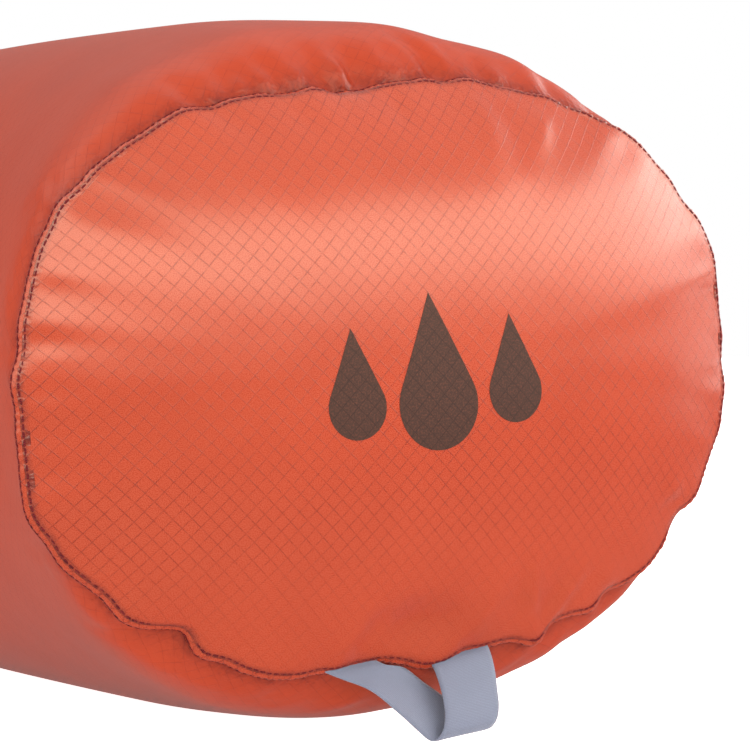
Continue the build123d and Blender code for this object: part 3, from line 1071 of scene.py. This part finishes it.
def ripstop_lines(m, uv, turn, half_width):
    """1 on the ripstop's thicker yarns, which cross in squares, and 0 between them."""
    wobble = m.put("ShaderNodeTexNoise", {"Vector": uv, "Scale": 45.0, "Detail": 1.0}).outputs["Color"]
    centred = m.vector("SUBTRACT", wobble, {1: (0.5, 0.5, 0.5)})
    moved = m.vector("ADD", uv, {1: m.vector("SCALE", centred, {"Scale": 0.0009})})
    turned = {"Vector": moved, "Rotation": (0, 0, math.radians(turn)), "Scale": (1 / RIPSTOP_PITCH,) * 3}
    axes = m.axes(m.put("ShaderNodeMapping", turned).outputs[0])
    across, along = (m.spread(m.math("PINGPONG", axes[k], 0.5), half_width * 0.45, half_width,
                              1.0, 0.0, smooth=True) for k in (0, 1))
    return m.math("MAXIMUM", across, along)


def ripstop_material(name, turn, line_strength, rough, gloss, fading=1.0):
    """Coated ripstop. Its lines show with line_strength, times fading low on the panel: painted light.
    """
    m = Material(name, Roughness=rough, Specular_IOR_Level=gloss, Specular_Tint=GLOSS_TINT)
    uv = m.pattern()
    lines = ripstop_lines(m, uv, turn, 0.045)
    broken = m.math("MULTIPLY", lines, m.spread(m.noise(uv, 420, 2.0), 0.35, 0.6, 0.35, 1.0))
    # the lines fade at random, and lower on the panel as painted light: fainter lines for the flatter
    # light there
    wear_and_light_fade = m.spread(m.noise(uv, 16, 1.0), 0.3, 0.7, 0.75, 1.0)
    wear_and_light_fade = m.math("MULTIPLY", wear_and_light_fade, m.spread(m.axes(uv)[1], -0.098, -0.050, fading, 1.0, smooth=True))
    shown = m.math("MULTIPLY", broken, m.math("MULTIPLY", wear_and_light_fade, line_strength))
    grain = m.noise(uv, 2600, 3.0, 0.75)
    colour = m.mix(m.spread(grain, 0.25, 0.75), FABRIC_GROUND, FABRIC_PALE)
    colour = m.mix(m.spread(m.noise(uv, 22, 3.0), 0.35, 0.7, 0.0, 0.10), colour, FABRIC_YARN)
    colour = m.mix(shown, colour, FABRIC_YARN)
    # painted shade along seams: the seam attribute darkens the colour to a dark maroon, unevenly with
    # the pucker noise
    seam = m.put("ShaderNodeAttribute", attribute_name="seam").outputs["Fac"]
    puckers = m.noise(uv, 420, 1.0)
    seam_painted_shade = m.math("MULTIPLY", seam, m.spread(puckers, 0.35, 0.65, 0.55, 0.95))
    colour = m.mix(seam_painted_shade, colour, SEAM_PAINTED_SHADE)
    pulled = m.bump(m.math("MULTIPLY", puckers, seam), 0.0009, 0.8)
    soft = m.bump(m.noise(uv, 34, 2.0), 0.0006, 0.35, pulled)
    woven = m.bump(grain, 0.00003, 0.4, soft)
    rough = m.spread(grain, 0.25, 0.75, rough - 0.07, rough + 0.10)
    return m.give(colour, rough, m.bump(broken, 0.00007, 0.6, woven))


def ink_material():
    m = Material("print_ink", Roughness=0.5, Specular_IOR_Level=0.3, Specular_Tint=GLOSS_TINT)
    uv = m.pattern()
    lines = ripstop_lines(m, uv, RIPSTOP_TURN, 0.05)
    grain = m.noise(uv, 1300, 3.0, 0.65)
    colour = m.mix(m.spread(grain, 0.45, 0.72, 0.0, 0.8), INK_DARK, INK_WORN)
    colour = m.mix(m.math("MULTIPLY", lines, 0.6), colour, INK_YARN)
    rough = m.spread(grain, 0.3, 0.7, 0.42, 0.62)
    return m.give(colour, rough, m.bump(grain, 0.00005, 0.5, m.bump(m.noise(uv, 34, 2.0), 0.0006, 0.35)))


def thread_material(name, dark, light):
    m = Material(name, Roughness=0.7, Specular_IOR_Level=0.15)
    waves = {"Vector": m.place(), "Scale": 900.0, "Distortion": 1.0}
    twist = m.put("ShaderNodeTexWave", waves, bands_direction="DIAGONAL").outputs["Fac"]
    return m.give(m.mix(m.spread(twist, 0.2, 0.8), dark, light), normal=m.bump(twist, 0.0001, 0.5))


def ribbed_material(name, dark, light, pitch, rough):
    """Ribbon or webbing: fine ribs, and the yarns that cross them."""
    m = Material(name, Roughness=rough, Specular_IOR_Level=0.4, Sheen_Weight=0.25, Sheen_Roughness=0.4)
    uv = m.pattern()
    axes = m.axes(uv)
    along = m.math("MULTIPLY", axes[1], 1 / pitch)
    across = m.math("MULTIPLY", axes[0], 1 / (pitch * 0.8))
    shifted = m.math("ADD", across, m.math("MULTIPLY", m.math("FLOOR", along), 0.5))
    weave = m.math("ADD", m.math("PINGPONG", along, 0.5), m.math("PINGPONG", shifted, 0.5))
    grain = m.noise(uv, 2200, 2.0, 0.7)
    tone = m.math("ADD", m.math("MULTIPLY", weave, 0.55), m.math("MULTIPLY", grain, 0.5))
    colour = m.mix(m.spread(tone, 0.25, 0.85), dark, light)
    colour = m.mix(m.spread(m.noise(uv, 60, 2.0), 0.4, 0.7, 0.0, 0.15), colour, dark)
    rough = m.spread(grain, 0.3, 0.7, rough - 0.08, rough + 0.1)
    return m.give(colour, rough, m.bump(weave, pitch * 0.35, 0.6, m.bump(grain, 0.00005, 0.4)))


def plastic_material(name, dark, light):
    m = Material(name, Roughness=0.42, Specular_IOR_Level=0.5)
    at = m.place()
    grain = m.noise(at, 1400, 2.0, 0.6)
    colour = m.mix(m.spread(m.noise(at, 60, 3.0), 0.35, 0.7), dark, light)
    return m.give(colour, m.spread(grain, 0.3, 0.7, 0.34, 0.52), m.bump(grain, 0.0001, 0.35))


def tape_material(name, dark, light):
    m = Material(name, Roughness=0.35, Specular_IOR_Level=0.5)
    bubbles = m.noise(m.place(), 500, 2.0)
    return m.give(m.mix(m.spread(bubbles, 0.35, 0.65), dark, light), normal=m.bump(bubbles, 0.0001, 0.3))


def glow_material(name, strength=lambda nodes: 1.0):
    """A material that only gives light, as strongly as the nodes that strength makes."""
    made = bpy.data.materials.new(name)
    made.use_nodes = True
    nodes = Nodes(made.node_tree)
    nodes.tree.nodes.clear()
    glow = nodes.put("ShaderNodeEmission", {"Strength": strength(nodes)})
    nodes.put("ShaderNodeOutputMaterial", {0: glow.outputs[0]})
    return made


def dress(obj, material):
    obj.data.materials.clear()
    obj.data.materials.append(material)


# ---- floor, light, camera ---------------------------------------------------
FLOOR_HALF = 7.0
BACKDROP_R = 9.0
WORLD_EVEN = 0.26
WORLD_BEHIND = 0.12
WORLD_ABOVE = 0.90
FLOOR_GLOW = 1.0
SOFTBOX_DISTANCE = 1.6   # from the base
# degrees round the base from its front; elevation in degrees of the lower and of the upper edge, each at
# its left and right end; radiance; share of its height over which it fades in; whether gloss shows it
SOFTBOXES = {
    "softbox_front": ((-58, 125), ((3, 3), (45, 29)), 4.9, 0.5, True),
    "softbox_left": ((-125, -60), ((-3, -3), (50, 50)), 2.2, 0.1, True),
    "softbox_left_high": ((-150, -60), ((35, 35), (70, 70)), 2.4, 0.1, True),
    "softbox_right": ((78, 125), ((-3, -3), (26, 26)), 6.0, 0.3, True),
    "softbox_right_high": ((30, 120), ((20, 20), (62, 62)), 2.0, 0.1, False),
}


def make_floor():
    turns = [2 * math.pi * k / 96 for k in range(96)]
    verts = [(FLOOR_HALF * math.cos(a), FLOOR_HALF * math.sin(a), 0) for a in turns]
    floor = new_object("floor", verts, [range(96)], smooth=False)
    m = Material("floor_white", Roughness=0.9, Specular_IOR_Level=0.1, Emission_Color=(1, 1, 1, 1),
                 Emission_Strength=FLOOR_GLOW)
    dress(floor, m.give(m.mix(m.noise(m.place(), 3.0), (0.86, 0.86, 0.86, 1), (0.90, 0.90, 0.90, 1))))
    floor.visible_glossy = False
    floor.location.z = -0.0002


def make_world():
    """A studio: bright overhead, paler behind the sack and dim in front of it."""
    world = bpy.data.worlds.new("studio")
    bpy.context.scene.world = world
    world.use_nodes = True
    nodes = Nodes(world.node_tree)
    axes = nodes.axes(nodes.put("ShaderNodeTexCoord").outputs["Generated"])
    behind = nodes.spread(axes[1], 0.1, 0.6, 0.0, WORLD_BEHIND, smooth=True)
    above = nodes.spread(axes[2], 0.45, 0.9, 0.0, WORLD_ABOVE, smooth=True)
    background = nodes.tree.nodes["Background"].inputs
    total = nodes.math("ADD", above, nodes.math("ADD", behind, WORLD_EVEN))
    nodes.tree.links.new(total, background["Strength"])
    background["Color"].default_value = (1, 1, 1, 1)


def make_backdrop():
    """A white dome far round everything, which only the camera sees."""
    work = bmesh.new()
    bmesh.ops.create_uvsphere(work, u_segments=48, v_segments=24, radius=BACKDROP_R)
    mesh = bpy.data.meshes.new("backdrop")
    work.to_mesh(mesh)
    work.free()
    dome = bpy.data.objects.new("backdrop", mesh)
    bpy.context.scene.collection.objects.link(dome)
    dress(dome, glow_material("backdrop_white"))
    for ray in ("diffuse", "glossy", "transmission", "volume_scatter", "shadow"):
        setattr(dome, "visible_" + ray, False)


def make_softbox(name, azimuths, elevations, radiance, fade, mirrored):
    """A glowing panel bent round the base, dimmest at its lower edge."""
    steps = 24
    shares = [k / steps for k in range(steps + 1)]
    verts = []
    for left_end, right_end in elevations:
        for k in range(steps + 1):
            elevation = left_end + (right_end - left_end) * k / steps
            z = BASE_Z + SOFTBOX_DISTANCE * math.tan(math.radians(elevation))
            a = math.radians(azimuths[0] + (azimuths[1] - azimuths[0]) * k / steps)
            verts.append((math.sin(a) * SOFTBOX_DISTANCE, SEAM_Y - math.cos(a) * SOFTBOX_DISTANCE, z))
    box = new_object(name, verts, grid_faces(2, steps + 1, closed=False), smooth=False)
    set_uv(box, [(share, row) for row in (0, 1) for share in shares])
    dress(box, glow_material(name + "_glow", lambda nodes: nodes.spread(
        nodes.axes(nodes.pattern())[1], 0.0, fade, 0.0, radiance, smooth=True)))
    box.visible_camera = False
    box.visible_glossy = mirrored
    box.visible_shadow = False


def make_camera():
    a = math.radians(CAMERA_AZIMUTH)
    e = math.radians(CAMERA_ELEVATION)
    back = Vector((math.sin(a) * math.cos(e), -math.cos(a) * math.cos(e), math.sin(e)))
    right = Vector((math.cos(a), math.sin(a), 0))
    up = back.cross(right)
    data = bpy.data.cameras.new("camera")
    data.lens = CAMERA_LENS
    data.sensor_width = 36
    data.clip_start = 0.05
    data.clip_end = 60
    camera = bpy.data.objects.new("camera", data)
    bpy.context.scene.collection.objects.link(camera)
    camera.location = Vector(BASE_MID) + back * CAMERA_DISTANCE + right * CAMERA_RIGHT + up * CAMERA_UP
    camera.rotation_mode = "QUATERNION"
    camera.rotation_quaternion = (-back).to_track_quat("-Z", "Y")
    bpy.context.scene.camera = camera


# ---- put together -----------------------------------------------------------
def add(piece, material, body, slot, *nodes):
    dress(piece, material)
    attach(piece, body)
    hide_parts(*nodes)
    return piece


make_world()
make_floor()
make_backdrop()
for name, settings in SOFTBOXES.items():
    make_softbox(name, *settings)
make_camera()
bpy.context.scene.view_settings.view_transform = "Standard"

base_cloth = ripstop_material(
    "base_ripstop", turn=RIPSTOP_TURN, line_strength=0.95, rough=0.27, gloss=0.85, fading=0.25)
body_cloth = ripstop_material("body_ripstop", turn=45, line_strength=0.38, rough=0.36, gloss=0.30)
roll_cloth = ripstop_material("collar_ripstop", turn=45, line_strength=0.55, rough=0.40, gloss=0.25)
dark_red = thread_material("dark_red_thread", (0.050, 0.002, 0.004, 1), (0.130, 0.007, 0.008, 1))
red = thread_material("red_thread", (0.10, 0.008, 0.006, 1), (0.30, 0.035, 0.02, 1))
black_thread = thread_material("black_thread", (0.020, 0.020, 0.024, 1), (0.085, 0.085, 0.095, 1))
grey_ribbon = ribbed_material(
    "grey_ribbon", (0.088, 0.095, 0.130, 1), (0.185, 0.203, 0.264, 1), pitch=0.0006, rough=0.5)
webbing = ribbed_material(
    "black_webbing", (0.012, 0.012, 0.014, 1), (0.06, 0.06, 0.066, 1), pitch=0.0011, rough=0.55)
black_plastic = plastic_material("black_plastic", (0.012, 0.012, 0.013, 1), (0.026, 0.026, 0.028, 1))
clear_tape = tape_material("seam_sealing_tape", (0.40, 0.16, 0.10, 1), (0.52, 0.24, 0.16, 1))
stiff_strip = plastic_material("stiffener_plastic", (0.30, 0.30, 0.30, 1), (0.40, 0.40, 0.40, 1))

base = make_base()
body, body_rows = make_body()
body_grid = points_of(body).reshape(body_rows, COLUMNS, 3)
subdivide(base)
subdivide(body)
add(base, base_cloth, "sack", "base_fabric", "base_panel")
add(body, body_cloth, "sack", "sack_fabric", "body_tube")

add(make_print(base), ink_material(), "sack", "ink", "base_print")
add(make_welt(), base_cloth, "sack", "base_fabric", "base_seam_welt")
for row, place in (("front", STITCH_FRONT), ("rear", STITCH_REAR)):
    stitches = make_seam_stitches(f"base_seam_stitches_{row}", *place)
    add(stitches, dark_red, "sack", "thread", f"base_stitch_{row}")
add(make_seam_tape(), clear_tape, "sack", "seam_tape", "base_seam_tape")

side_rows = body_grid[3:-16]      # clear of the base seam and of the closed mouth
fell = strip_on_body("side_seam_fell_strip", side_rows, width=0.010, lift=0.0002, thick=0.0005)
add(fell, body_cloth, "sack", "sack_fabric", "side_seam_fell")
for row, offset in (("upper", 0.0034), ("lower", -0.0034)):
    stitches = side_stitches(f"side_seam_stitches_{row}", side_rows, offset)
    add(stitches, red, "sack", "thread", f"side_stitch_{row}")
side_tape = strip_on_body("side_seam_sealing_tape", side_rows, width=0.020, lift=-0.0016, thick=0.0003)
add(side_tape, clear_tape, "sack", "seam_tape", "side_seam_tape")

loop, loop_length = make_pull_loop()
add(loop, grey_ribbon, "loop", "ribbon", "pull_loop")
add(make_loop_stitching(), black_thread, "sack", "dark_thread", "loop_stitching")

collar = add(make_collar(), roll_cloth, "sack", "sack_fabric", "rolled_collar")
for word, side in (("left", -1), ("right", 1)):
    tab, tab_length = make_tab(word, side)
    add(tab, webbing, "sack", "webbing", f"{word}_webbing_tab")
    tacks = make_tab_stitches(word, side)
    add(tacks, black_thread, "sack", "dark_thread", f"{word}_tab_stitching")
    if side > 0:
        for piece in (tab, tacks):
            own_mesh(piece)

for node in ("buckle_socket", "buckle_plug", "lower_prong", "upper_prong"):
    dress(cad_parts[node], black_plastic)
dress(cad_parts["mouth_stiffener"], stiff_strip)
